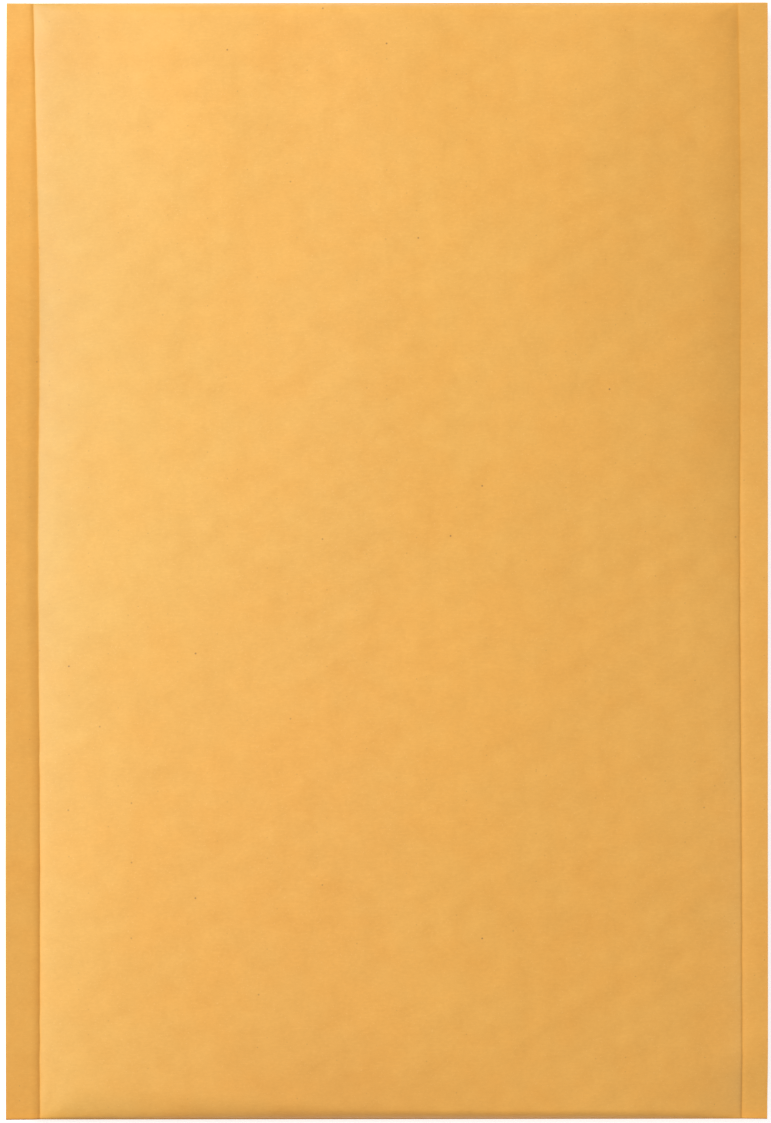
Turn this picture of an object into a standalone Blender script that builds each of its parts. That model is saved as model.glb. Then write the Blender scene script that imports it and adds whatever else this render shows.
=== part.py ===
"""A closed padded mailer of kraft paper, lying on its back with its address side up.

One paper sheet is folded up at the bottom, joined to itself along two flat side seams, and folded over
at the top, where its flap lies glued on the back. The lining lifts both panels between the seams.
The closed pack is one solid: X is its width, +Y points from the bottom fold to the top fold, and +Z is
up. The origin is the middle of the outline, on the surface that the pack rests on.
"""

import math

import bmesh
import bpy

# The outline of the closed pack
WIDTH = 0.240
HEIGHT = 0.3515

# The flat side seams. Each crease bends a little, so a seam has three widths along its length.
LEFT_SEAM_AT_BOTTOM = 0.0104
LEFT_SEAM_AT_MIDDLE = 0.0104
LEFT_SEAM_AT_TOP = 0.0086
RIGHT_SEAM_AT_BOTTOM = 0.0082
RIGHT_SEAM_AT_MIDDLE = 0.0087
RIGHT_SEAM_AT_TOP = 0.0094
SEAM_THICKNESS = 0.0009

# Each seam dips into its crease, and its cut edge turns up a little
CREASE_DIP = 0.0005
CREASE_RUN = 0.0028
SEAM_CURL = 0.0008

# The address side: it rises from each crease over a rounded shoulder, then crowns towards the middle
FRONT_SHOULDER_RISE = 0.0036
FRONT_SHOULDER_RUN = 0.024
FRONT_CROWN = 0.0021

# The back: it drops from the seams over its own shoulder to the flat that the pack rests on
BACK_SHOULDER_DROP = 0.0042
BACK_SHOULDER_RUN = 0.016

# The folds are blunt: the padding thins only over these runs, and the sheet has a narrow tip there
BOTTOM_FOLD_RUN = 0.0040
TOP_FOLD_RUN = 0.0046
FOLD_TIP_SHARE = 0.35

# The flap, folded over the top and glued down across the back
FLAP_LENGTH = 0.045
FLAP_THICKNESS = 0.0005
FLAP_EDGE_RUN = 0.0003
FLAP_EASE = 0.012

# How finely the surfaces are divided
POCKET_COLUMNS = 28
SEAM_COLUMNS = 4
FOLD_STEPS = 8
EASE_STEPS = 4
PANEL_ROWS = 14
FLAP_ROWS = 4
LEAST_ROW_GAP = 0.00005

KRAFT_COLOUR = (0.855, 0.462, 0.125, 1.0)
KRAFT_ROUGHNESS = 0.62
SMOOTH_ANGLE = math.radians(28)

BOTTOM_Y = -HEIGHT / 2
TOP_Y = HEIGHT / 2
FLAP_EDGE_Y = TOP_Y - FLAP_LENGTH
SEAM_Z = BACK_SHOULDER_DROP + SEAM_THICKNESS / 2


def lerp(a, b, t):
    return a + (b - a) * t


def bend(start, middle, end, t):
    """The parabola through three values, at the start, the middle and the end."""
    return start * (1 - t) * (1 - 2 * t) + 4 * middle * t * (1 - t) + end * t * (2 * t - 1)


def creases(y):
    """X of the left and right creases, where the flat seams meet the padded pocket."""
    t = (y - BOTTOM_Y) / HEIGHT
    left_seam = bend(LEFT_SEAM_AT_BOTTOM, LEFT_SEAM_AT_MIDDLE, LEFT_SEAM_AT_TOP, t)
    right_seam = bend(RIGHT_SEAM_AT_BOTTOM, RIGHT_SEAM_AT_MIDDLE, RIGHT_SEAM_AT_TOP, t)
    return -WIDTH / 2 + left_seam, WIDTH / 2 - right_seam


def into_pocket(x, y):
    """The distance from the nearer crease into the pocket, negative over a seam."""
    left, right = creases(y)
    return min(x - left, right - x)


def shoulder(distance, run):
    """0 at a crease, 1 beyond the run, with a finite slope at the crease and none at the run's end."""
    return math.sin(math.pi / 2 * min(1.0, max(0.0, distance / run)))


def fold(distance, run):
    """0 at a fold and 1 beyond the run, along a quarter of an ellipse that is upright at the fold."""
    s = min(1.0, max(0.0, distance / run))
    return math.sqrt(1 - (1 - s) ** 2)


def ends(y):
    """How much of its full depth the padding has at this height, from 0 at the folds to 1."""
    return fold(y - BOTTOM_Y, BOTTOM_FOLD_RUN) * fold(TOP_Y - y, TOP_FOLD_RUN)


def crown(x, y):
    """1 in the middle of the pocket and 0 at its creases and folds."""
    left, right = creases(y)
    across = 2 * (x - left) / (right - left) - 1
    along = 2 * (y - BOTTOM_Y) / HEIGHT - 1
    return (1 - across**2) * (1 - along**4)


def tip(y):
    """The share of its thickness that the sheet keeps at this height: less only at the folds' tips."""
    return FOLD_TIP_SHARE if min(y - BOTTOM_Y, TOP_Y - y) < LEAST_ROW_GAP else 1.0


def sheet_shift(x, y):
    """How far both faces of the sealed plies move together: down into a crease, up at the cut edge."""
    inward = into_pocket(x, y)
    dip = CREASE_DIP * max(0.0, 1 - abs(inward) / CREASE_RUN) ** 2
    left, right = creases(y)
    seam_width = WIDTH / 2 - right if x > 0 else left + WIDTH / 2
    return SEAM_CURL * max(0.0, -inward / seam_width) - dip


def front_z(x, y):
    """Height of the address side."""
    inward = into_pocket(x, y)
    rise = FRONT_SHOULDER_RISE * shoulder(inward, FRONT_SHOULDER_RUN)
    if inward > 0:
        rise += FRONT_CROWN * crown(x, y)
    return SEAM_Z + SEAM_THICKNESS / 2 * tip(y) + sheet_shift(x, y) + rise * ends(y)


def under_flap(y):
    """1 under the flap and 0 well below its edge: how far the back panel makes room for the flap."""
    s = min(1.0, max(0.0, (FLAP_EDGE_Y - y) / FLAP_EASE))
    return 0.5 + 0.5 * math.cos(math.pi * s)


def back_z(x, y):
    """Height of the back panel, or of the flap where it covers the panel."""
    fullness = shoulder(into_pocket(x, y), BACK_SHOULDER_RUN) * ends(y)
    flap = FLAP_THICKNESS if y > FLAP_EDGE_Y else 0.0
    room = FLAP_THICKNESS * under_flap(y) * fullness
    skin = (SEAM_THICKNESS / 2 + flap) * (1 - tip(y))
    return (BACK_SHOULDER_DROP + sheet_shift(x, y)) * (1 - fullness) + room - flap + skin


def column_positions(y):
    """X of every column of points at this height, from the left edge to the right edge."""
    left, right = creases(y)
    # the squares put a seam's columns close together where it dips into the crease
    seam_shares = [1 - (1 - k / SEAM_COLUMNS) ** 2 for k in range(SEAM_COLUMNS)]
    in_left_seam = [lerp(-WIDTH / 2, left, s) for s in seam_shares]
    in_right_seam = [lerp(WIDTH / 2, right, s) for s in reversed(seam_shares)]
    # a cosine puts the pocket's columns close together where its shoulders curve
    shares = [0.5 - 0.5 * math.cos(math.pi * k / POCKET_COLUMNS) for k in range(POCKET_COLUMNS + 1)]
    return in_left_seam + [lerp(left, right, s) for s in shares] + in_right_seam


def row_positions():
    """Y of every row of points: close together round the folds and at the flap's edge."""
    arc = [1 - math.cos(math.pi / 2 * k / FOLD_STEPS) for k in range(FOLD_STEPS + 1)]
    rows = [BOTTOM_Y + BOTTOM_FOLD_RUN * a for a in arc]
    rows += [TOP_Y - TOP_FOLD_RUN * a for a in arc]
    panel = (BOTTOM_Y + BOTTOM_FOLD_RUN, FLAP_EDGE_Y - FLAP_EASE)
    rows += [lerp(*panel, k / PANEL_ROWS) for k in range(PANEL_ROWS)]
    rows += [FLAP_EDGE_Y - FLAP_EASE * k / EASE_STEPS for k in range(EASE_STEPS + 1)]
    flap = (FLAP_EDGE_Y + FLAP_EDGE_RUN, TOP_Y - TOP_FOLD_RUN)
    rows += [lerp(*flap, k / FLAP_ROWS) for k in range(FLAP_ROWS)]
    kept = []
    for y in sorted(rows):
        if not kept or y - kept[-1] > LEAST_ROW_GAP:
            kept.append(y)
    return kept


def ring(grid):
    """The points round the edge of a grid of rows, anticlockwise as seen from above."""
    right_side = [row[-1] for row in grid[1:-1]]
    left_side = [row[0] for row in grid[1:-1]]
    return grid[0] + right_side + grid[-1][::-1] + left_side[::-1]


def build_mesh(name):
    """Lofts the address side and the back over one grid, then closes them along seams and folds."""
    bm = bmesh.new()
    rows = row_positions()

    def surface(height):
        return [[bm.verts.new((x, y, height(x, y))) for x in column_positions(y)] for y in rows]

    front, back = surface(front_z), surface(back_z)
    for j in range(len(rows) - 1):
        for i in range(len(front[0]) - 1):
            bm.faces.new((front[j][i], front[j][i + 1], front[j + 1][i + 1], front[j + 1][i]))
            bm.faces.new((back[j][i], back[j + 1][i], back[j + 1][i + 1], back[j][i + 1]))
    upper, lower = ring(front), ring(back)
    for k in range(len(upper)):
        n = (k + 1) % len(upper)
        bm.faces.new((upper[k], lower[k], lower[n], upper[n]))
    mesh = bpy.data.meshes.new(name)
    bm.to_mesh(mesh)
    bm.free()
    mesh.shade_smooth()
    mesh.set_sharp_from_angle(angle=SMOOTH_ANGLE)
    return mesh


def kraft_paper():
    material = bpy.data.materials.new("kraft_paper")
    material.use_nodes = True
    shader = material.node_tree.nodes["Principled BSDF"]
    shader.inputs["Base Color"].default_value = KRAFT_COLOUR
    shader.inputs["Roughness"].default_value = KRAFT_ROUGHNESS
    shader.inputs["Metallic"].default_value = 0.0
    return material


def main():
    for old in list(bpy.data.objects):
        bpy.data.objects.remove(old)
    mesh = build_mesh("bubble_mailer")
    mesh.materials.append(kraft_paper())
    mailer = bpy.data.objects.new("bubble_mailer", mesh)
    bpy.context.scene.collection.objects.link(mailer)


main()
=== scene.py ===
"""Dresses the closed padded mailer: golden kraft paper over a bubble film lining, lying on its back.

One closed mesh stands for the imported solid. It has the solid's outline and padding, and adds what the
solid is too coarse for: the wander of the two creases, the plies that show on the cut side edges, the
flap's free edge on the back, the pinched corners and the faint print of the bubbles in the lining.
X is the width, +Y points from the bottom fold to the top fold, and +Z is up out of the address side.
"""

import math

import bpy
import numpy as np
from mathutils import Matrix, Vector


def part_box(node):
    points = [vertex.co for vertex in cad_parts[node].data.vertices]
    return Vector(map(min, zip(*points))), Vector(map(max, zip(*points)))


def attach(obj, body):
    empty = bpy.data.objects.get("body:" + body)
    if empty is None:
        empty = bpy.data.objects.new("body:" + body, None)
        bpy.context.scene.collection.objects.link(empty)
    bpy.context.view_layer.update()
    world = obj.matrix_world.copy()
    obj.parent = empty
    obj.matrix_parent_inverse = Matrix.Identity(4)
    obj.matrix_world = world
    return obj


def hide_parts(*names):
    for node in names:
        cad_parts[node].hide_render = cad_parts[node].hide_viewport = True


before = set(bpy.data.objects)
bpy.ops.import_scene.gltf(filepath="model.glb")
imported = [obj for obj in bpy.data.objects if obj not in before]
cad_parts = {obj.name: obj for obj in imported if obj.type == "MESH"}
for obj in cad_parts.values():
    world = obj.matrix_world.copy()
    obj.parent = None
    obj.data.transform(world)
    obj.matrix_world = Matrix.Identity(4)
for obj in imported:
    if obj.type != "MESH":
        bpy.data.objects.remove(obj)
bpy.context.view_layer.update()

MM = 0.001
LOW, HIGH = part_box("bubble_mailer")
# The folds of the sheet reach a hair past the solid's
FOLD_SPRING = 0.15 * MM
WIDTH = HIGH.x - LOW.x
BOTTOM_Y = LOW.y - FOLD_SPRING
TOP_Y = HIGH.y + FOLD_SPRING
HEIGHT = TOP_Y - BOTTOM_Y

# The photograph's frame, and where the middle of the mailer lies in it
PHOTO_WIDTH = 771
PHOTO_HEIGHT = 1123
MAILER_WIDTH_PX = 761.6
MIDDLE_PX = (386.85, 560.95)

# Below, a curve is a few pairs: a share of the height, from the bottom fold up, and the value there.
# A span is where a smooth step begins and ends.

# The outline and the side seams: the widths are in millimetres
LEFT_SEAM = ((0.0, 10.55), (0.25, 10.65), (0.5, 10.05), (0.77, 10.3), (0.88, 9.4), (1.0, 8.3))
RIGHT_SEAM = ((0.0, 8.0), (0.25, 8.2), (0.5, 8.8), (0.77, 8.55), (0.93, 9.05), (1.0, 9.45))
SEAM_THICKNESS = 0.9 * MM
CREASE_WOBBLE = 0.07 * MM
WOBBLE_LENGTH = 11 * MM
LEFT_WOBBLE_SEED = 21
RIGHT_WOBBLE_SEED = 22
LEFT_EDGE_BOW = 0.12 * MM
LEFT_BOW_MIDDLE = 0.35
RIGHT_EDGE_BOW = 0.20 * MM
OUT_OF_SQUARE = 0.3 * MM

# How the seams rise, wave and curl: a curl is the slope from the crease up to the cut edge
LEFT_WAVE = 0.35 * MM
LEFT_WAVE_TURNS = 1.3
LEFT_WAVE_START = 0.4
RIGHT_RISE = 2.2 * MM
RIGHT_RISE_SPAN = (0.66, 0.26)
RIGHT_WAVE = 0.2 * MM
RIGHT_WAVE_TURNS = 2.5
SEAM_LIFT_RUN = 24 * MM
SEAM_LIFT_REACH = 18 * MM
LEFT_CURL = ((0.0, 0.09), (0.2, 0.12), (0.5, 0.125), (0.77, 0.12), (0.88, 0.08), (1.0, 0.03))
RIGHT_CURL = ((0.0, 0.07), (0.25, 0.07), (0.5, 0.05), (0.85, 0.01), (1.0, 0.0))

# The band that is pressed down beside each crease, with widths in millimetres
LEFT_BAND = ((0.0, 2.2), (0.25, 2.2), (0.5, 3.8), (0.77, 3.0), (0.9, 1.5), (1.0, 1.2))
RIGHT_BAND_WIDTH = 1.3 * MM
RIGHT_BAND_SPAN = (0.35, 0.65)
BAND_SLOPE = 0.20
BAND_POWER = 1.6
CREASE_RISE = 8.0 * MM

# The fine score line in each crease, steep on one side and gentle on the other
SCORE_DIP = 0.19 * MM
SCORE_STEEP = 0.24 * MM
SCORE_GENTLE = 1.4 * MM
SCORE_ROUNDNESS = 0.08 * MM
LEFT_SCORE_SPAN = (0.50, 0.25)
LEFT_TOP_SCORE_SPAN = (0.85, 0.95)
LEFT_TOP_SCORE = 0.6
RIGHT_SCORE_SPAN = (0.75, 0.40)

# How much the sealed plies thin along a crease, and how far to either side
CREASE_PINCH = 0.10 * MM
PINCH_SEAM_SIDE = 1.2 * MM
PINCH_POCKET_SIDE = 0.5 * MM
PINCH_ROUNDNESS = 0.2 * MM

# The padding of the address side and of the back
BACK_DEPTH = 4.2 * MM
FRONT_RISE = 3.7 * MM
FRONT_CROWN = 2.0 * MM
SLOW_SHOULDER = 28 * MM
BACK_SHOULDER = 6.0 * MM
BOTTOM_FOLD_RUN = 3.0 * MM
BOTTOM_LEFT_RUN = 9.0 * MM
BOTTOM_LEFT_SPAN = (0.25, -0.5)
TOP_FOLD_RUN = 4.5 * MM
FOLD_TIP = 0.45 * MM

# The quick part of each shoulder: its share of the rise, and its length and the crease's roundness in
# millimetres
LEFT_QUICK_SHARE = ((0.0, 0.39), (0.25, 0.38), (0.5, 0.26), (0.8, 0.13), (1.0, 0.10))
LEFT_QUICK_LENGTH = ((0.0, 7.0), (0.25, 10.0), (0.5, 8.5), (0.8, 5.0), (1.0, 4.0))
LEFT_ROUNDNESS = ((0.0, 0.3), (0.25, 0.35), (0.5, 0.65), (0.68, 0.9), (0.77, 1.6), (0.88, 0.7), (1.0, 0.4))
RIGHT_QUICK_SHARE = ((0.0, 0.0), (0.3, 0.02), (0.55, 0.11), (0.68, 0.13), (0.8, 0.21), (1.0, 0.32))
RIGHT_QUICK_LENGTH = ((0.0, 3.0), (0.3, 3.0), (0.55, 2.6), (0.8, 3.4), (1.0, 4.5))
RIGHT_ROUNDNESS = ((0.0, 0.2), (0.5, 0.5), (0.8, 1.6), (0.92, 1.4), (1.0, 1.0))

# Swells: the height of each, its wavelength and the seed of its random waves
WAVE_COUNT = 9
WAVE_SPREAD = (0.7, 1.5)
FRONT_SWELLS = ((0.16 * MM, 70 * MM, 3), (0.02 * MM, 14 * MM, 4))
BACK_SWELL = (0.1 * MM, 60 * MM, 8)
FLAP_SWELL = (0.04 * MM, 40 * MM, 12)
FRONT_SWELL_RUN = 14 * MM
BACK_SWELL_RUN = 10 * MM

# The puckers that fan out from the pocket's corners
FRONT_PUCKER = 0.05 * MM
BACK_PUCKER = 0.2 * MM
FRONT_PUCKER_SEED = 6
BACK_PUCKER_SEED = 9
PUCKER_WAVES = (6, 8)
PUCKER_START = 3 * MM
PUCKER_REACH = 9 * MM

# The flap on the back, the line of glue under it and the slot under its free edge
FLAP_LENGTH = 45 * MM
FLAP_EDGE_Y = TOP_Y - FLAP_LENGTH
FLAP_THICKNESS = 0.5 * MM
FLAP_EASE = 12 * MM
FLAP_PINCH_SHARE = 0.7
GLUE_RISE = 0.05 * MM
GLUE_START = (6 * MM, 7 * MM)
GLUE_END = (32 * MM, 31 * MM)
FLAP_GAP = 0.14 * MM
FLAP_GAP_UNEVEN = (0.8, 60 * MM, 11)
FLAP_GAP_DEPTH = 4.0 * MM
FLAP_GAP_SPAN = (7 * MM, 15 * MM)
# Where the slot is closed, its rows are a step apart and lie on the flap's inner face
CLOSED_SLOT_STEP = 0.05 * MM
FLAP_INNER_FACE = 0.8
# The slot's rows, from the panel in and out again: how far in each lies, and if it is on the panel
SLOT_ROWS = ((0.35, True), (1.0, True), (0.5, False), (0.0, False))

# The bubbles of the lining, which print through the paper more on the right than on the left
BUBBLE_PITCH = 10.85 * MM
BUBBLE_TURN = 1
# The direction of each of the three sets of rows, and its share of the print
BUBBLE_ROWS = ((0, 0.28), (60, 0.26), (120, 0.46))
FRONT_PRINT = 0.06 * MM
BACK_PRINT = 0.06 * MM
PRINT_IN_MIDDLE = 0.7
PRINT_ACROSS = 0.8
PRINT_PATCHES = (0.3, 90 * MM, 5)

# How finely the surfaces are divided
SEAM_COLUMNS = 16
SEAM_COLUMN_POWER = 1.5
FIRST_STEP = 0.15 * MM
STEP_GROWTH = 1.22
WIDEST_STEP = 1.75 * MM
ROW_STEP = 1.6 * MM
FOLD_ROWS = 12
ROWS_BELOW_FLAP_EDGE = (0.25, 1.0, 2.0, 3.2, 4.6)
ROWS_ABOVE_FLAP_EDGE = (0, 0.5, 1.2, 2.2, 3.4)
SAME_ROW = 0.01 * MM

# The steps down a cut side edge, as shares of its height, with a groove between each two plies
TWO_PLY_STEPS = (0.42, 0.50, 0.58, 0.76, 0.80, 0.84)
THREE_PLY_STEPS = (0.26, 0.32, 0.38, 0.60, 0.66, 0.72)
UPPER_GROOVE = 1
LOWER_GROOVE = 4
GROOVE_DEPTH = 0.28 * MM
GROOVE_BOTTOM_RUN = 5 * MM
GROOVE_TOP_RUN = 4 * MM
SMOOTH_ANGLE = math.radians(35)

# The paper's colours, and the tones between which it runs from deep to pale
KRAFT_DEEP = (0.775, 0.370, 0.060, 1.0)
KRAFT_PALE = (0.875, 0.452, 0.090, 1.0)
KRAFT_RUDDY = (1.015, 0.98, 0.91, 1.0)
KRAFT_WORN = (0.930, 0.540, 0.170, 1.0)
FLECK = (0.30, 0.13, 0.035, 1.0)
CUT_PAPER = (0.80, 0.50, 0.22, 1.0)
FILM = (0.86, 0.80, 0.68, 1.0)
TONE_SPAN = (0.455, 0.975)

# Layers of the paper's pattern: features for each millimetre, detail and roughness
CLOUDS = (0.10, 4.0, 0.75)
DRIFT = (0.014, 1.0, 0.5)
HUE_PATCHES = (0.05, 3.0, 0.6)
GRAIN = (1.0, 4.0, 0.58)
STRANDS = (1.0, 1.0, 0.5)
MOTES = (2.2, 1.0, 0.5)
COCKLE = (0.16, 2.0, 0.5)
CUT_FIBRES = (1.0, 3.0, 0.6)
HUE_TURN = 30
MOTES_TURN = 20
GRAIN_STRETCH = (0.75, 1.25, 1.0)
CUT_STRETCH = (1.0, 1.2, 9.0)
# Each set of hairs: its direction in degrees, and how much it is drawn out along it
HAIRS = ((6, 0.22), (58, 0.30), (117, 0.34))
HAIR_FINENESS = 4.2
HAIR_SPAN = (0.60, 0.78)

# How much each layer adds to the tone
CLOUDS_SHARE = 0.74
DRIFT_SHARE = 0.20
GRAIN_SHARE = 0.47
HAIRS_SHARE = 0.12
HAIR_RELIEF = 0.25

# Where the ruddy patches and the pale motes set in, and the most that the motes cover
RUDDY_SPAN = (0.42, 0.62)
MOTES_SPAN = (0.64, 0.80)
MOTES_COVER = 0.50

# Dark fibres: cells for each millimetre, a spot's size, how few cells have one, and how dark it is
SPECKS = (0.10, (0.016, 0.038), (0.95, 0.995), 0.85)
PEPPER = (0.32, (0.045, 0.085), (0.94, 0.995), 0.32)

# The paper's gloss and relief
PAPER_IOR = 1.60
PAPER_SHEEN = 0.05
PAPER_SHEEN_ROUGHNESS = 0.5
ROUGH_SPAN = (0.3, 0.7)
PAPER_ROUGHNESS = (0.52, 0.62)
CUT_ROUGHNESS = (0.70, 0.85)
FILM_SPAN = (0.35, 0.7)
FILM_COVER = 0.5
FINE_RELIEF = (0.35, 0.03 * MM)
COCKLE_RELIEF = (0.5, 0.12 * MM)
CUT_RELIEF = (0.5, 0.05 * MM)

# Where the paper is rubbed
CREASE_WEAR = 0.1
CREASE_WEAR_REACH = 0.5 * MM
TOP_FOLD_WEAR = 0.4
TOP_FOLD_WEAR_REACH = 0.6 * MM
WORN_SPAN = (0.35, 0.65)
WORN_COVER = (0.15, 0.6)

# Tints that the paper's colour is multiplied by: over the sealed plies, then painted shade beside the left
# crease, then a painted highlight and painted shade in broad parts of the address side, then painted shade
# in the creases and at the bottom fold
SEALED_TINT = (0.945, 0.93, 0.83)
BAND_SHADE_TINT = (1.00, 0.96, 0.85)
PALE_HIGHLIGHT_TINT = (0.92, 1.06, 1.24)
SHOULDER_HIGHLIGHT_TINT = (0.855, 0.88, 0.98)
RIGHT_CREASE_SHADE_TINT = (0.98, 1.03, 1.28)
UPPER_RIGHT_SHADE_TINT = (1.03, 0.97, 0.84)
FAR_SIDE_SHADE_TINT = (1.00, 0.995, 0.925)
LOW_MIDDLE_TONE_AND_SHADE_TINT = (0.96, 0.925, 0.85)
FULL_PART_SHADE_TINT = (0.95, 0.95, 0.93)
SCORE_SHADE_TINT = (1.00, 0.94, 0.72)
FOLD_SHADE_TINT = (1.05, 0.98, 0.76)
FOLD_SHADOW_LINE_TINT = (0.75, 0.70, 0.70)

# Where the painted light and shade lie, up the height: the full part is where the padding catches most
# light
LOWER_SPAN = (0.55, 0.15)
HIGH_SPAN = (0.60, 0.90)
UPPER_SPAN = (0.60, 0.95)
TOP_SPAN = (0.84, 0.96)
FULL_MIDDLE = 0.67
FULL_WIDTH = 0.12
LOW_SPAN = (0.11, 0.02)

# How much weaker or stronger the broad painted highlight and the shoulder's painted highlight are in those
# places
HIGHLIGHT_LESS_LOWER = 0.35
HIGHLIGHT_LESS_FULL = 0.15
HIGHLIGHT_LESS_HIGH = 0.15
HIGHLIGHT_LESS_TOP = 0.3
DARK_MORE_FULL = 0.15
DARK_MORE_TOP = 0.3
DARK_LESS_LOWER = 0.5

# Where the painted light and shade lie, across the width and in from the creases; the broad painted
# highlight's reach is in millimetres
CREASE_BLEND = 0.5 * MM
BAND_SHADE_REACH = 1.6 * MM
PALE_HIGHLIGHT_REACH = ((0.0, 28.0), (0.33, 32.0), (0.55, 80.0), (1.0, 90.0))
SHOULDER_REACH = 12 * MM
SHOULDER_HIGH_REACH = 9 * MM
RIGHT_CREASE_SHADE_REACH = 6 * MM
UPPER_RIGHT_SHADE_REACH = 8 * MM
FULL_REACH = 45 * MM
FAR_SIDE_SHADE_SPAN = (-0.06, 0.10)
DEEP_MIDDLE_X = -12 * MM
DEEP_WIDTH = 42 * MM
SCORE_SHADE_REACH = 0.5 * MM
FOLD_SHADE_REACH = 2.4 * MM
FOLD_SHADOW_LINE_REACH = 0.4 * MM
FOLD_SHADOW_LINE_SPAN = (0.35, 0.05)

# The even light from all round, and each lamp's place, the side of its square and its power
WORLD_TINT = (1.0, 0.985, 0.96, 1.0)
WORLD_STRENGTH = 0.343
WHITE = (1.0, 1.0, 1.0, 1.0)
KEY = ((-0.95, 0.46, 0.80), 0.75, 19.8)
FILL = ((0.85, -0.75, 0.90), 0.90, 1.4)

# The floor lies a hair below the mailer, and adds just enough light of its own to show white
FLOOR_HALF = 6.0
FLOOR_DROP = 0.02 * MM
FLOOR_COLOUR = (0.80, 0.80, 0.80, 1.0)
FLOOR_ROUGHNESS = 0.9
FLOOR_WHITENESS = 0.66

# The camera: a long lens, in millimetres, and how near and far it sees
LENS = 135
SENSOR = 36
CLIP = (0.05, 50)

SEAM_Z = BACK_DEPTH + SEAM_THICKNESS / 2


def smoothstep(t):
    """0 up to 0 and 1 beyond 1, with a smooth step between."""
    t = np.clip(t, 0.0, 1.0)
    return t * t * (3 - 2 * t)


def ramp(value, start, end):
    """0 up to the start and 1 beyond the end, with a smooth step between. The end may be the lower."""
    return smoothstep((value - start) / (end - start))


def bell(distance, width):
    """1 at 0, falling away to either side over about one width."""
    return np.exp(-((distance / width) ** 2))


def fade(distance, length):
    """1 at and before 0, fading out over a few lengths beyond it."""
    return np.exp(-np.maximum(distance, 0) / length)


def along(y):
    """0 at the bottom fold and 1 at the top fold."""
    return (y - BOTTOM_Y) / HEIGHT


def curve(points, y):
    """The value at this height of a smooth curve through a few (share of the height, value) points."""
    t = along(y)
    places = np.array([p for p, _ in points])
    values = np.array([v for _, v in points])
    slopes = np.gradient(values, places)
    k = np.clip(np.searchsorted(places, t) - 1, 0, len(places) - 2)
    span = places[k + 1] - places[k]
    s = (t - places[k]) / span
    from_values = values[k] * (2 * s**3 - 3 * s**2 + 1) + values[k + 1] * (3 * s**2 - 2 * s**3)
    from_slopes = slopes[k] * (s**3 - 2 * s**2 + s) + slopes[k + 1] * (s**3 - s**2)
    return from_values + span * from_slopes


def unevenness(x, y, wavelength, seed):
    """Smooth random waves of about one wavelength, from about -1 to 1."""
    rng = np.random.default_rng(seed)
    total = np.zeros(np.broadcast(x, y).shape)
    for _ in range(WAVE_COUNT):
        angle = rng.uniform(0, 2 * math.pi)
        wave = 2 * math.pi / (wavelength * rng.uniform(*WAVE_SPREAD))
        phase = rng.uniform(0, 2 * math.pi)
        total += np.cos(wave * (x * math.cos(angle) + y * math.sin(angle)) + phase)
    return total / math.sqrt(2 * WAVE_COUNT)


def bubbles(x, y):
    """The close-packed bubbles of the lining: 1 over a bubble, and below 0 between three of them."""
    wave = 2 * math.pi / (BUBBLE_PITCH * math.sin(math.radians(60)))
    total = 0
    for degrees, share in BUBBLE_ROWS:
        angle = math.radians(degrees + BUBBLE_TURN)
        total = total + share * np.cos(wave * (x * math.cos(angle) + y * math.sin(angle)))
    return total


def right_seam_rise(y):
    """How far the right seam has risen: 0 near the top fold and 1 over the lower part."""
    return ramp(along(y), *RIGHT_RISE_SPAN)


def left_edge(y):
    return -WIDTH / 2 + LEFT_EDGE_BOW * (2 * (along(y) - LEFT_BOW_MIDDLE)) ** 2


def right_edge(y):
    return WIDTH / 2 - RIGHT_EDGE_BOW * right_seam_rise(y)


def wobble(y, seed):
    """How far a crease strays to either side of its line."""
    return CREASE_WOBBLE * unevenness(0 * y, y, WOBBLE_LENGTH, seed)


def left_crease(y):
    return left_edge(y) + curve(LEFT_SEAM, y) * MM + wobble(y, LEFT_WOBBLE_SEED)


def right_crease(y):
    return right_edge(y) - curve(RIGHT_SEAM, y) * MM + wobble(y, RIGHT_WOBBLE_SEED)


def into_pocket(x, y):
    """The distance from the nearer crease into the pocket, negative over a seam."""
    return np.minimum(x - left_crease(y), right_crease(y) - x)


def fold(distance, run):
    """0 at a fold and 1 beyond the run, along a quarter of an ellipse that is upright at the fold."""
    s = np.clip(distance / run, 0.0, 1.0)
    return np.sqrt(1 - (1 - s) ** 2)


def ends(x, y):
    """How much of its full depth the padding has here, from 0 at the folds to 1."""
    bottom_run = BOTTOM_FOLD_RUN + BOTTOM_LEFT_RUN * ramp(x / WIDTH, *BOTTOM_LEFT_SPAN) ** 2
    bottom = fold(y - BOTTOM_Y - FOLD_TIP, bottom_run)
    top = fold(TOP_Y - FOLD_TIP - y, TOP_FOLD_RUN)
    return bottom * top


def crown(x, y):
    """1 in the middle of the pocket and 0 at its creases and folds."""
    across = 2 * (x - left_crease(y)) / (right_crease(y) - left_crease(y)) - 1
    up = 2 * along(y) - 1
    return np.clip(1 - across**2, 0, 1) * (1 - np.clip(up, -1, 1) ** 4)


def rounded(distance, radius):
    """The distance where it is well above 0, and 0 where it is well below, with a round bend between."""
    return (distance + np.sqrt(distance**2 + radius**2)) / 2


def shoulder(distance, length):
    """0 at a crease, rising fast at first, to nearly 1 at three lengths."""
    return 1 - fade(distance, length)


def padding_rise(inward, y, quick_share, quick_length, roundness):
    """The padding's rise from one crease: a quick part beside the crease, and a slow one."""
    inward = rounded(inward, curve(roundness, y) * MM)
    quick = curve(quick_share, y)
    length = curve(quick_length, y) * MM
    return quick * shoulder(inward, length) + (1 - quick) * shoulder(inward, SLOW_SHOULDER)


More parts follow.
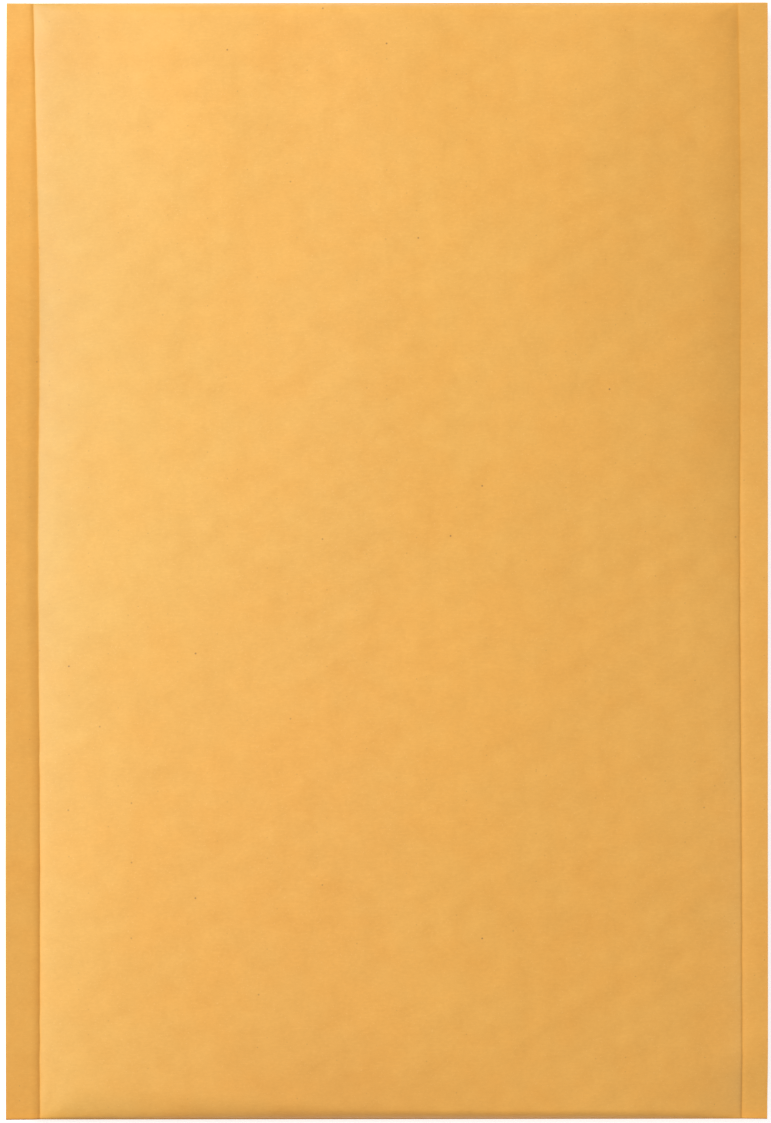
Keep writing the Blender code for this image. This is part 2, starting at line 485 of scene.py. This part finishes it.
def front_fullness(x, y):
    """How far the address side has risen from both creases, from 0 to nearly 1."""
    left_in, right_in = x - left_crease(y), right_crease(y) - x
    left = padding_rise(left_in, y, LEFT_QUICK_SHARE, LEFT_QUICK_LENGTH, LEFT_ROUNDNESS)
    right = padding_rise(right_in, y, RIGHT_QUICK_SHARE, RIGHT_QUICK_LENGTH, RIGHT_ROUNDNESS)
    return left * right


def away_from_folds(y, run):
    """0 at both folds and 1 beyond the run from them."""
    return smoothstep(along(y) * HEIGHT / run) * smoothstep((1 - along(y)) * HEIGHT / run)


def seam_lift(x, y):
    """How the two flat seams rise and fall a little along their length."""
    turn = 2 * math.pi * along(y)
    left = LEFT_WAVE * np.sin(LEFT_WAVE_TURNS * turn + LEFT_WAVE_START)
    right = RIGHT_RISE * right_seam_rise(y) + RIGHT_WAVE * np.sin(RIGHT_WAVE_TURNS * turn)
    return np.where(x < 0, left, right) * away_from_folds(y, SEAM_LIFT_RUN)


def seam_curl(x, y):
    """How far each seam has turned up on its way from its crease to its cut edge."""
    return np.where(x < 0, curve(LEFT_CURL, y), curve(RIGHT_CURL, y)) * np.maximum(-into_pocket(x, y), 0)


def beside(inward, seam_side, pocket_side, radius):
    """1 at a crease, fading over one length on the seam's side and another on the pocket's."""
    return np.exp(-rounded(-inward, radius) / seam_side - rounded(inward, radius) / pocket_side)


def pressed_band(inward, width, radius):
    """The dip at a crease: the sealed plies slope down to it over a band, and the pocket rises from it."""
    depth = BAND_SLOPE * width / BAND_POWER
    share = np.clip(1 - rounded(-inward, radius) / width, 0, 1) ** BAND_POWER
    return depth * share * np.exp(-rounded(inward, radius) / CREASE_RISE)


def crease_dip(x, y):
    """The dip along each crease: the pressed band, and a fine score line along part of it."""
    up = along(y)
    left_in, right_in = x - left_crease(y), right_crease(y) - x
    left = pressed_band(left_in, curve(LEFT_BAND, y) * MM, curve(LEFT_ROUNDNESS, y) * MM)
    right = pressed_band(right_in, RIGHT_BAND_WIDTH, curve(RIGHT_ROUNDNESS, y) * MM)
    right = ramp(up, *RIGHT_BAND_SPAN) * right
    left_score = beside(left_in, SCORE_STEEP, SCORE_GENTLE, SCORE_ROUNDNESS)
    left_score *= ramp(up, *LEFT_SCORE_SPAN) + LEFT_TOP_SCORE * ramp(up, *LEFT_TOP_SCORE_SPAN)
    right_score = beside(right_in, SCORE_GENTLE, SCORE_STEEP, SCORE_ROUNDNESS)
    right_score *= ramp(up, *RIGHT_SCORE_SPAN)
    return left + right + SCORE_DIP * (left_score + right_score)


def sheet_shift(x, y):
    """How far both faces move together: the seams' lift and curl, and the dip of each crease."""
    lift = seam_lift(x, y) * fade(into_pocket(x, y), SEAM_LIFT_REACH)
    return lift + seam_curl(x, y) - crease_dip(x, y)


def pinch(x, y):
    """How much thinner the sealed plies are along a crease."""
    return CREASE_PINCH * beside(into_pocket(x, y), PINCH_SEAM_SIDE, PINCH_POCKET_SIDE, PINCH_ROUNDNESS)


def corner_puckers(x, y, seed):
    """Small folds that fan out from the four corners of the pocket."""
    rng = np.random.default_rng(seed)
    total = 0
    for crease_x, fold_y, out in (
        (left_crease(BOTTOM_Y), BOTTOM_Y, (1, 1)),
        (right_crease(BOTTOM_Y), BOTTOM_Y, (-1, 1)),
        (left_crease(TOP_Y), TOP_Y, (1, -1)),
        (right_crease(TOP_Y), TOP_Y, (-1, -1)),
    ):
        dx = (x - crease_x) * out[0]
        dy = (y - fold_y) * out[1]
        angle = np.arctan2(dy, dx)
        waves = np.cos(rng.uniform(*PUCKER_WAVES) * angle + rng.uniform(0, 2 * math.pi))
        inside = smoothstep(dx / PUCKER_START) * smoothstep(dy / PUCKER_START)
        total = total + waves * inside * bell(np.hypot(dx, dy) - PUCKER_REACH, PUCKER_REACH)
    return total


def front_surface(x, y):
    """Height of the address side."""
    end = ends(x, y)
    deep = smoothstep(into_pocket(x, y) / FRONT_SWELL_RUN) * end
    z = SEAM_Z + SEAM_THICKNESS / 2 - pinch(x, y) + sheet_shift(x, y)
    z = z + (FRONT_RISE * front_fullness(x, y) + FRONT_CROWN * crown(x, y)) * end
    for height, wavelength, seed in FRONT_SWELLS:
        z = z + height * deep * unevenness(x, y, wavelength, seed)
    share, wavelength, seed = PRINT_PATCHES
    print_share = PRINT_IN_MIDDLE + PRINT_ACROSS * x / WIDTH
    print_share = print_share * (1 + share * unevenness(x, y, wavelength, seed))
    z = z + FRONT_PRINT * deep * print_share * bubbles(x, y)
    return z + FRONT_PUCKER * corner_puckers(x, y, FRONT_PUCKER_SEED) * end


def under_flap(y):
    """1 under the flap and 0 well below its edge: how far the back panel makes room for the flap."""
    return 0.5 + 0.5 * np.cos(math.pi * np.clip((FLAP_EDGE_Y - y) / FLAP_EASE, 0, 1))


def flap_gap(x):
    """How far the flap's free edge stands off the panel, across the mailer."""
    share, wavelength, seed = FLAP_GAP_UNEVEN
    return FLAP_GAP * (1 + share * unevenness(x, 0 * x, wavelength, seed))


def back_fullness(x, y):
    """How full the back's padding is: 0 over the seams and at the folds, and 1 on the flat."""
    return shoulder(into_pocket(x, y), BACK_SHOULDER) * ends(x, y)


def back_panel(x, y):
    """Height of the back panel, also where the flap covers it."""
    full = back_fullness(x, y)
    z = BACK_DEPTH * (1 - full) + sheet_shift(x, y) * (1 - full) + pinch(x, y)
    z = z + (FLAP_THICKNESS + flap_gap(x)) * under_flap(y) * full
    deep = smoothstep(into_pocket(x, y) / BACK_SWELL_RUN) * ends(x, y)
    hollow = 0.5 * (1 - bubbles(x, y))
    z = z + BACK_PRINT * deep * hollow
    height, wavelength, seed = BACK_SWELL
    z = z + height * deep * (1 + unevenness(x, y, wavelength, seed))
    return z + BACK_PUCKER * corner_puckers(x, y, BACK_PUCKER_SEED) * full * (1 - full)


def flap_surface(x, y):
    """Height of the flap's outer face."""
    full = back_fullness(x, y)
    z = (BACK_DEPTH - FLAP_THICKNESS + sheet_shift(x, y)) * (1 - full) + FLAP_PINCH_SHARE * pinch(x, y)
    from_edge = y - FLAP_EDGE_Y
    z = z + GLUE_RISE * ramp(from_edge, *GLUE_START) * ramp(from_edge, *GLUE_END) * full
    height, wavelength, seed = FLAP_SWELL
    return z + height * full * (1 + unevenness(x, y, wavelength, seed))


def column_shares():
    """Places of the columns, as shares from a cut edge to its crease, and from crease to crease."""
    seam = 1 - np.linspace(1, 0, SEAM_COLUMNS + 1) ** SEAM_COLUMN_POWER
    steps = [FIRST_STEP]
    while steps[-1] < WIDEST_STEP:
        steps.append(min(steps[-1] * STEP_GROWTH, WIDEST_STEP))
    near = np.concatenate([[0], np.cumsum(steps)])
    pocket_width = float(right_crease(0.0) - left_crease(0.0))
    middle_count = int((pocket_width - 2 * near[-1]) / WIDEST_STEP)
    middle = np.linspace(near[-1], pocket_width - near[-1], middle_count + 1)
    pocket = np.concatenate([near[:-1], middle, (pocket_width - near[:-1])[::-1]]) / pocket_width
    return seam, pocket


def columns_at(y, seam, pocket):
    """X of every column at this height, from the left edge to the right edge."""
    left, right = left_crease(y), right_crease(y)
    in_left = left_edge(y) + (left - left_edge(y)) * seam[:-1]
    in_right = right_edge(y) + (right - right_edge(y)) * seam[:-1]
    return np.concatenate([in_left, left + (right - left) * pocket, in_right[::-1]])


def row_positions():
    """Y of every row: close together round the folds and at the flap's edge."""
    arc = 1 - np.cos(np.linspace(0, math.pi / 2, FOLD_ROWS + 1))
    low = BOTTOM_Y + FOLD_TIP + BOTTOM_FOLD_RUN * arc
    high = TOP_Y - FOLD_TIP - TOP_FOLD_RUN * arc
    edge = FLAP_EDGE_Y - np.array(ROWS_BELOW_FLAP_EDGE) * MM
    panel = np.linspace(low[-1], edge[-1], int((edge[-1] - low[-1]) / ROW_STEP))
    flap = FLAP_EDGE_Y + np.array(ROWS_ABOVE_FLAP_EDGE) * MM
    upper = np.linspace(flap[-1], high[-1], int((high[-1] - flap[-1]) / ROW_STEP))
    return np.sort(np.concatenate([low[:-1], panel[:-1], edge, flap[:-1], upper[:-1], high]))


def ring_of(grid):
    """The points round the edge of a grid of rows, anticlockwise as seen from above."""
    return np.concatenate([grid[0], grid[1:-1, -1], grid[-1, ::-1], grid[1:-1, 0][::-1]])


class Shell:
    """Collects the points and faces of one closed mesh, and which of its faces are cut paper."""

    def __init__(self):
        self.points = np.zeros((0, 3))
        self.faces = []
        self.cut = []

    def add(self, points):
        """Adds a grid or row of points, and returns their numbers in the same shape."""
        first = len(self.points)
        self.points = np.concatenate([self.points, points.reshape(-1, 3)])
        return np.arange(first, len(self.points)).reshape(points.shape[:-1])

    def add_surface(self, x, y, z):
        """Adds the points of a surface, on an outline that is a little out of square."""
        return self.add(np.stack([x, y + OUT_OF_SQUARE * x / WIDTH, z], axis=-1))

    def face(self, corners, cut=False):
        self.faces.append([int(c) for c in corners])
        self.cut.append(cut)

    def skin(self, rows, face_up):
        """Fills between rows of points that run from left to right, the lowest first."""
        for low, high in zip(rows[:-1], rows[1:]):
            for i in range(len(low) - 1):
                corners = (low[i], low[i + 1], high[i + 1], high[i])
                self.face(corners if face_up else (corners[0], *corners[:0:-1]))


def add_flap_slot(shell, x, z_outer):
    """The rows of points in the slot under the flap's free edge: in along the panel, and out again."""
    from_side = np.minimum(x - x[0], x[-1] - x)
    open_share = ramp(from_side, *FLAP_GAP_SPAN)
    z_panel = back_panel(x, FLAP_EDGE_Y + 0 * x)
    z_closed = z_outer + FLAP_INNER_FACE * (z_panel - z_outer)
    gap = flap_gap(x) * open_share
    rows = []
    for share, on_panel in SLOT_ROWS:
        closed_step = CLOSED_SLOT_STEP * (1 - share) * (1 - open_share) * (2 if on_panel else 1)
        y = FLAP_EDGE_Y - closed_step + FLAP_GAP_DEPTH * open_share * share
        inner = np.where(open_share > 0, z_panel - gap * (1 - share), z_closed)
        rows.append(shell.add_surface(x, y, z_panel if on_panel else inner))
    return rows


def add_ring_levels(shell, upper, lower, row_of, rows, on_flap):
    """Rings of points between the two faces: rounded at the folds, and stepped at the cut sides."""
    top_points, bottom_points = shell.points[upper], shell.points[lower]
    at_bottom = row_of == 0
    at_top = row_of == len(rows) - 1
    at_side = ~(at_bottom | at_top)
    out_x = np.where(at_side, np.sign(top_points[:, 0]), 0)
    out_y = np.where(at_bottom, -1.0, np.where(at_top, 1.0, 0.0))
    y = rows[row_of]
    groove = -GROOVE_DEPTH * smoothstep((y - BOTTOM_Y) / GROOVE_BOTTOM_RUN)
    groove = groove * smoothstep((TOP_Y - y) / GROOVE_TOP_RUN)
    sunk = {UPPER_GROOVE: groove, LOWER_GROOVE: groove * on_flap}
    levels = []
    for k, (two_ply, three_ply) in enumerate(zip(TWO_PLY_STEPS, THREE_PLY_STEPS)):
        angle = math.pi * (k + 1) / (len(TWO_PLY_STEPS) + 1)
        down = np.where(at_side, np.where(on_flap, three_ply, two_ply), (1 - math.cos(angle)) / 2)
        out = np.where(at_side, sunk.get(k, 0), FOLD_TIP * math.sin(angle))
        points = top_points + (bottom_points - top_points) * down[:, None]
        points[:, 0] += out * out_x
        points[:, 1] += out * out_y
        levels.append(shell.add(points))
    return at_side, [upper, *levels, lower]


def close_ring(shell, front, back, rows, slot_rows, edge_row):
    """Joins the two faces all round, and takes in the ends of the slot under the flap."""
    upper, lower = ring_of(front), ring_of(back)
    row_of = ring_of(np.repeat(np.arange(len(rows))[:, None], front.shape[1], axis=1))
    at_side, levels = add_ring_levels(shell, upper, lower, row_of, rows, row_of > edge_row)
    for k in range(len(upper)):
        n = (k + 1) % len(upper)
        cut = bool(at_side[k] or at_side[n])
        for a, b in zip(levels[:-2], levels[1:-1]):
            shell.face((a[k], b[k], b[n], a[n]), cut)
        a, b = levels[-2], levels[-1]
        between = []
        if cut and {row_of[k], row_of[n]} == {edge_row, edge_row + 1}:
            side = -1 if shell.points[upper[k], 0] > 0 else 0
            slot_ends = [row[side] for row in slot_rows]
            between = slot_ends if row_of[k] == edge_row else slot_ends[::-1]
        shell.face((a[k], b[k], *between, b[n], a[n]), cut)


def mailer_shell():
    """The whole mailer as one closed mesh: address side, back, flap, folds and cut edges."""
    rows = row_positions()
    seam, pocket = column_shares()
    x = np.array([columns_at(y, seam, pocket) for y in rows])
    y = np.repeat(rows[:, None], x.shape[1], axis=1)
    on_flap = rows > FLAP_EDGE_Y - SAME_ROW
    edge_row = int(np.argmax(on_flap)) - 1
    z_back = np.where(on_flap[:, None], flap_surface(x, y), back_panel(x, y))

    shell = Shell()
    front = shell.add_surface(x, y, front_surface(x, y))
    back = shell.add_surface(x, y, z_back)
    slot_rows = add_flap_slot(shell, x[edge_row + 1], z_back[edge_row + 1])
    shell.skin(list(front), face_up=True)
    shell.skin([*back[:edge_row + 1], *slot_rows, *back[edge_row + 1:]], face_up=False)
    close_ring(shell, front, back, rows, slot_rows, edge_row)
    return shell


class Graph:
    """Short calls for building the nodes of a material or of the world."""

    # A Mix node's colour sockets come after those for numbers and vectors
    MIX_FIRST = 6
    MIX_SECOND = 7
    MIX_RESULT = 2

    def __init__(self, owner, shader="Principled BSDF"):
        owner.use_nodes = True
        self.nodes = owner.node_tree.nodes
        self.links = owner.node_tree.links
        self.shader = self.nodes[shader]

    def node(self, kind, settings=None, **inputs):
        made = self.nodes.new(kind)
        for name, value in (settings or {}).items():
            setattr(made, name, value)
        for name, value in inputs.items():
            self.feed(made.inputs[name], value)
        return made

    def feed(self, socket, value):
        if isinstance(value, bpy.types.NodeSocket):
            self.links.new(value, socket)
        else:
            socket.default_value = value

    def maths(self, operation, a, b):
        made = self.node("ShaderNodeMath", {"operation": operation})
        self.feed(made.inputs[0], a)
        self.feed(made.inputs[1], b)
        return made.outputs[0]

    def ranged(self, value, low, high, to_low, to_high, interpolation="LINEAR"):
        made = self.node("ShaderNodeMapRange", {"interpolation_type": interpolation})
        for socket, x in zip(made.inputs, (value, low, high, to_low, to_high)):
            self.feed(socket, x)
        return made.outputs["Result"]

    def millimetres(self):
        """The object's own coordinates, in millimetres."""
        place = self.node("ShaderNodeTexCoord").outputs["Object"]
        scaled = self.node("ShaderNodeVectorMath", {"operation": "SCALE"}, Vector=place, Scale=1 / MM)
        return scaled.outputs["Vector"]

    def turned(self, coordinates, degrees, scale=(1.0, 1.0, 1.0)):
        mapping = self.node("ShaderNodeMapping", Vector=coordinates, Scale=scale)
        self.feed(mapping.inputs["Rotation"], (0, 0, math.radians(degrees)))
        return mapping.outputs["Vector"]

    def noise(self, coordinates, scale, detail, roughness):
        made = self.node("ShaderNodeTexNoise", Vector=coordinates, Scale=scale, Detail=detail)
        self.feed(made.inputs["Roughness"], roughness)
        return made.outputs["Fac"]

    def mix(self, share, a, b, blend="MIX"):
        made = self.node("ShaderNodeMix", {"data_type": "RGBA", "blend_type": blend}, Factor=share)
        self.feed(made.inputs[self.MIX_FIRST], a)
        self.feed(made.inputs[self.MIX_SECOND], b)
        return made.outputs[self.MIX_RESULT]

    def attribute(self, name, output):
        return self.node("ShaderNodeAttribute", {"attribute_name": name}).outputs[output]

    def bump(self, relief, height):
        strength, distance = relief
        return self.node("ShaderNodeBump", Strength=strength, Distance=distance, Height=height)

    def spots(self, coordinates, scale, size, rarity, strength):
        """Round spots in a few of the cells of a flat pattern."""
        flat = {"voronoi_dimensions": "2D"}
        cells = self.node("ShaderNodeTexVoronoi", flat, Vector=coordinates, Scale=scale)
        spot = self.ranged(cells.outputs["Distance"], *size, 1.0, 0.0)
        chance = self.node("ShaderNodeSeparateColor", Color=cells.outputs["Color"]).outputs["Red"]
        return self.maths("MULTIPLY", spot, self.ranged(chance, *rarity, 0.0, strength))

    def background_rays(self):
        """1 for rays that show the background: straight to the camera, mirrored or seen through."""
        path = self.node("ShaderNodeLightPath")
        seen = self.maths("MAXIMUM", path.outputs["Is Camera Ray"], path.outputs["Is Glossy Ray"])
        return self.maths("MAXIMUM", seen, path.outputs["Is Transmission Ray"])


def kraft_paper():
    """Kraft paper: soft clouds, fibres, a few dark flecks, and a satin machine-glazed face."""
    material = bpy.data.materials.new("kraft_paper")
    graph = Graph(material)
    mm = graph.millimetres()
    grain = graph.noise(graph.turned(mm, 0, GRAIN_STRETCH), *GRAIN)
    hairs = 0.0
    for degrees, length in HAIRS:
        strands = graph.noise(graph.turned(mm, degrees, (length, HAIR_FINENESS, 1.0)), *STRANDS)
        hairs = graph.maths("ADD", graph.ranged(strands, *HAIR_SPAN, 0.0, 1.0, "SMOOTHSTEP"), hairs)

    tone = 0.0
    for layer, share in (
        (graph.noise(mm, *CLOUDS), CLOUDS_SHARE),
        (graph.noise(mm, *DRIFT), DRIFT_SHARE),
        (grain, GRAIN_SHARE),
        (hairs, HAIRS_SHARE),
    ):
        tone = graph.maths("ADD", graph.maths("MULTIPLY", layer, share), tone)
    colour = graph.mix(graph.ranged(tone, *TONE_SPAN, 0.0, 1.0), KRAFT_DEEP, KRAFT_PALE)
    ruddy = graph.ranged(graph.noise(graph.turned(mm, HUE_TURN), *HUE_PATCHES), *RUDDY_SPAN, 0.0, 1.0)
    colour = graph.mix(ruddy, colour, KRAFT_RUDDY, "MULTIPLY")
    motes = graph.noise(graph.turned(mm, MOTES_TURN), *MOTES)
    motes = graph.ranged(motes, *MOTES_SPAN, 0.0, MOTES_COVER, "SMOOTHSTEP")
    colour = graph.mix(motes, colour, KRAFT_WORN)
    worn = graph.ranged(grain, *WORN_SPAN, *WORN_COVER)
    colour = graph.mix(graph.maths("MULTIPLY", graph.attribute("wear", "Fac"), worn), colour, KRAFT_WORN)
    # The tint multiplies in the sealed plies' colour and the painted light and shade
    colour = graph.mix(1.0, colour, graph.attribute("tint", "Color"), "MULTIPLY")
    for kind in (SPECKS, PEPPER):
        colour = graph.mix(graph.spots(mm, *kind), colour, FLECK)

    graph.feed(graph.shader.inputs["Base Color"], colour)
    graph.feed(graph.shader.inputs["Roughness"], graph.ranged(grain, *ROUGH_SPAN, *PAPER_ROUGHNESS))
    graph.shader.inputs["IOR"].default_value = PAPER_IOR
    graph.shader.inputs["Sheen Weight"].default_value = PAPER_SHEEN
    graph.shader.inputs["Sheen Roughness"].default_value = PAPER_SHEEN_ROUGHNESS

    fine = graph.bump(FINE_RELIEF, graph.maths("ADD", grain, graph.maths("MULTIPLY", hairs, HAIR_RELIEF)))
    cockle = graph.bump(COCKLE_RELIEF, graph.noise(mm, *COCKLE))
    graph.feed(cockle.inputs["Normal"], fine.outputs["Normal"])
    graph.feed(graph.shader.inputs["Normal"], cockle.outputs["Normal"])
    return material


def cut_edge():
    """The knife-cut side of a seam: raw paper fibres, with the pale film between the plies."""
    material = bpy.data.materials.new("cut_edge")
    graph = Graph(material)
    fibres = graph.noise(graph.turned(graph.millimetres(), 0, CUT_STRETCH), *CUT_FIBRES)
    colour = graph.mix(graph.ranged(fibres, *FILM_SPAN, 0.0, FILM_COVER), CUT_PAPER, FILM)
    graph.feed(graph.shader.inputs["Base Color"], colour)
    graph.feed(graph.shader.inputs["Roughness"], graph.ranged(fibres, *ROUGH_SPAN, *CUT_ROUGHNESS))
    graph.feed(graph.shader.inputs["Normal"], graph.bump(CUT_RELIEF, fibres).outputs["Normal"])
    return material


def wear_of(points):
    """How much each point is rubbed: along the creases and the top fold."""
    x, y = points[:, 0], points[:, 1]
    crease = np.minimum(np.abs(x - left_crease(y)), np.abs(x - right_crease(y)))
    wear = CREASE_WEAR * np.exp(-crease / CREASE_WEAR_REACH)
    wear += TOP_FOLD_WEAR * fade(TOP_Y - y, TOP_FOLD_WEAR_REACH)
    return np.clip(wear, 0, 1)


def tint_with_painted_light_of(points):
    """The paper's tint: deeper on the sealed seams, a paler painted highlight on the address side's left,
    and painted shade.
    """
    x, y, z = points.T
    up, across = along(y), x / WIDTH
    address = z > SEAM_Z + sheet_shift(x, y)
    left_in, right_in = x - left_crease(y), right_crease(y) - x
    past_left = ramp(left_in, -CREASE_BLEND, CREASE_BLEND)
    past_right = ramp(right_in, -CREASE_BLEND, CREASE_BLEND)
    pocket = past_left * past_right
    lower, high, top = ramp(up, *LOWER_SPAN), ramp(up, *HIGH_SPAN), ramp(up, *TOP_SPAN)
    full = bell(up - FULL_MIDDLE, FULL_WIDTH)
    pale = 1 - HIGHLIGHT_LESS_LOWER * lower - HIGHLIGHT_LESS_FULL * full - HIGHLIGHT_LESS_HIGH * high - HIGHLIGHT_LESS_TOP * top
    darker = 1 + DARK_MORE_FULL * full + DARK_MORE_TOP * top - DARK_LESS_LOWER * lower
    shoulder_reach = SHOULDER_REACH + SHOULDER_HIGH_REACH * high
    from_bottom = y - BOTTOM_Y
    shares = (
        (1 - pocket, SEALED_TINT),
        # Painted shade in the pressed band on the seam side of the left crease
        (address * (1 - past_left) * bell(left_in, BAND_SHADE_REACH), BAND_SHADE_TINT),
        # Painted highlight: paler and less red where the light falls most, over a broad reach from the left
        # crease
        (address * pale * past_left * fade(left_in, curve(PALE_HIGHLIGHT_REACH, y) * MM), PALE_HIGHLIGHT_TINT),
        # Painted highlight on the lit left shoulder: dimmer and less red, over a short reach from the
        # crease
        (address * darker * past_left * fade(left_in, shoulder_reach), SHOULDER_HIGHLIGHT_TINT),
        # Painted shade colour beside the lower right crease: greyer and bluer
        (address * lower * past_right * fade(right_in, RIGHT_CREASE_SHADE_REACH), RIGHT_CREASE_SHADE_TINT),
        # Painted shade beside the upper right crease: warmer and more saturated
        (address * ramp(up, *UPPER_SPAN) * past_right * fade(right_in, UPPER_RIGHT_SHADE_REACH), UPPER_RIGHT_SHADE_TINT),
        # Painted shade on the half away from the light: a little more saturated
        (address * pocket * ramp(across, *FAR_SIDE_SHADE_SPAN), FAR_SIDE_SHADE_TINT),
        # Darker and deeper toned towards the bottom middle: painted shade of the padding's slope, and a
        # deeper tone of the paper
        (address * bell(x - DEEP_MIDDLE_X, DEEP_WIDTH) * ramp(up, *LOW_SPAN), LOW_MIDDLE_TONE_AND_SHADE_TINT),
        # Painted shade, a little darker and greyer, over the part of the padding that catches most light
        (address * full * past_left * fade(left_in, FULL_REACH), FULL_PART_SHADE_TINT),
        # Painted shade along the score lines of both creases: deeper orange
        (address * bell(left_in, SCORE_SHADE_REACH), SCORE_SHADE_TINT),
        (address * bell(right_in, SCORE_SHADE_REACH), SCORE_SHADE_TINT),
        # Painted shade at the bottom fold: deeper orange
        (bell(from_bottom, FOLD_SHADE_REACH), FOLD_SHADE_TINT),
        # Painted shadow: a dark line along the bottom fold's tip, over its left part and fading out to the
        # right
        (ramp(across, *FOLD_SHADOW_LINE_SPAN) * bell(from_bottom, FOLD_SHADOW_LINE_REACH), FOLD_SHADOW_LINE_TINT),
    )
    tint = np.ones((len(points), 3))
    for share, colour in shares:
        tint *= 1 + share[:, None] * (np.array(colour) - 1)
    return tint


def build_mailer():
    """Makes the mailer's object, with its rubbed places and its tints, painted light and shade among them,
    stored on its points.
    """
    shell = mailer_shell()
    mesh = bpy.data.meshes.new("kraft_mailer")
    mesh.from_pydata(shell.points.tolist(), [], shell.faces)
    mesh.materials.append(kraft_paper())
    mesh.materials.append(cut_edge())
    mesh.polygons.foreach_set("material_index", np.array(shell.cut, np.int32))
    wear = mesh.attributes.new("wear", "FLOAT", "POINT")
    wear.data.foreach_set("value", wear_of(shell.points).astype(np.float32))
    tint = mesh.attributes.new("tint", "FLOAT_VECTOR", "POINT")
    tint.data.foreach_set("vector", tint_with_painted_light_of(shell.points).astype(np.float32).ravel())
    mesh.shade_smooth()
    mesh.set_sharp_from_angle(angle=SMOOTH_ANGLE)
    mesh.update()
    mailer = bpy.data.objects.new("kraft_mailer", mesh)
    bpy.context.scene.collection.objects.link(mailer)
    return mailer


def floor():
    """A plain pale floor, which shows white but keeps the mailer's shadow."""
    mesh = bpy.data.meshes.new("floor")
    corners = [(x * FLOOR_HALF, y * FLOOR_HALF, 0) for x, y in ((-1, -1), (1, -1), (1, 1), (-1, 1))]
    mesh.from_pydata(corners, [], [(0, 1, 2, 3)])
    material = bpy.data.materials.new("pale_floor")
    graph = Graph(material)
    graph.shader.inputs["Base Color"].default_value = FLOOR_COLOUR
    graph.shader.inputs["Roughness"].default_value = FLOOR_ROUGHNESS
    graph.shader.inputs["Emission Color"].default_value = WHITE
    glow = graph.maths("MULTIPLY", graph.background_rays(), FLOOR_WHITENESS)
    graph.feed(graph.shader.inputs["Emission Strength"], glow)
    mesh.materials.append(material)
    plane = bpy.data.objects.new("floor", mesh)
    plane.location.z = -FLOOR_DROP
    bpy.context.scene.collection.objects.link(plane)


def world_light():
    """A warm, even light from all round, which shows as plain white."""
    world = bpy.data.worlds.new("studio")
    bpy.context.scene.world = world
    graph = Graph(world, "Background")
    graph.shader.inputs["Color"].default_value = WORLD_TINT
    graph.shader.inputs["Strength"].default_value = WORLD_STRENGTH
    plain = graph.node("ShaderNodeBackground", Color=WHITE, Strength=1.0)
    either = graph.node("ShaderNodeMixShader", Fac=graph.background_rays())
    graph.feed(either.inputs[1], graph.shader.outputs["Background"])
    graph.feed(either.inputs[2], plain.outputs["Background"])
    graph.feed(graph.nodes["World Output"].inputs["Surface"], either.outputs["Shader"])


def lamp(name, place, size, power):
    """A soft square lamp that faces the middle of the mailer."""
    data = bpy.data.lights.new(name, "AREA")
    data.shape = "SQUARE"
    data.size = size
    data.energy = power
    made = bpy.data.objects.new(name, data)
    made.location = place
    made.rotation_mode = "QUATERNION"
    made.rotation_quaternion = made.location.to_track_quat("Z", "Y")
    bpy.context.scene.collection.objects.link(made)


def camera():
    """Looks straight down, from where the photograph's frame holds the mailer as it does there."""
    data = bpy.data.cameras.new("camera")
    data.lens = LENS
    data.sensor_width = SENSOR
    data.clip_start, data.clip_end = CLIP
    metres_per_pixel = WIDTH / MAILER_WIDTH_PX
    distance = PHOTO_HEIGHT * metres_per_pixel * data.lens / data.sensor_width
    view = bpy.data.objects.new("camera", data)
    view.location = (
        (PHOTO_WIDTH / 2 - MIDDLE_PX[0]) * metres_per_pixel,
        -(PHOTO_HEIGHT / 2 - MIDDLE_PX[1]) * metres_per_pixel,
        SEAM_Z + distance,
    )
    bpy.context.scene.collection.objects.link(view)
    bpy.context.scene.camera = view


mailer = build_mailer()
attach(mailer, "root")
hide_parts("bubble_mailer")
floor()
world_light()
lamp("key", *KEY)
lamp("fill", *FILL)
camera()
bpy.context.scene.view_settings.view_transform = "Standard"
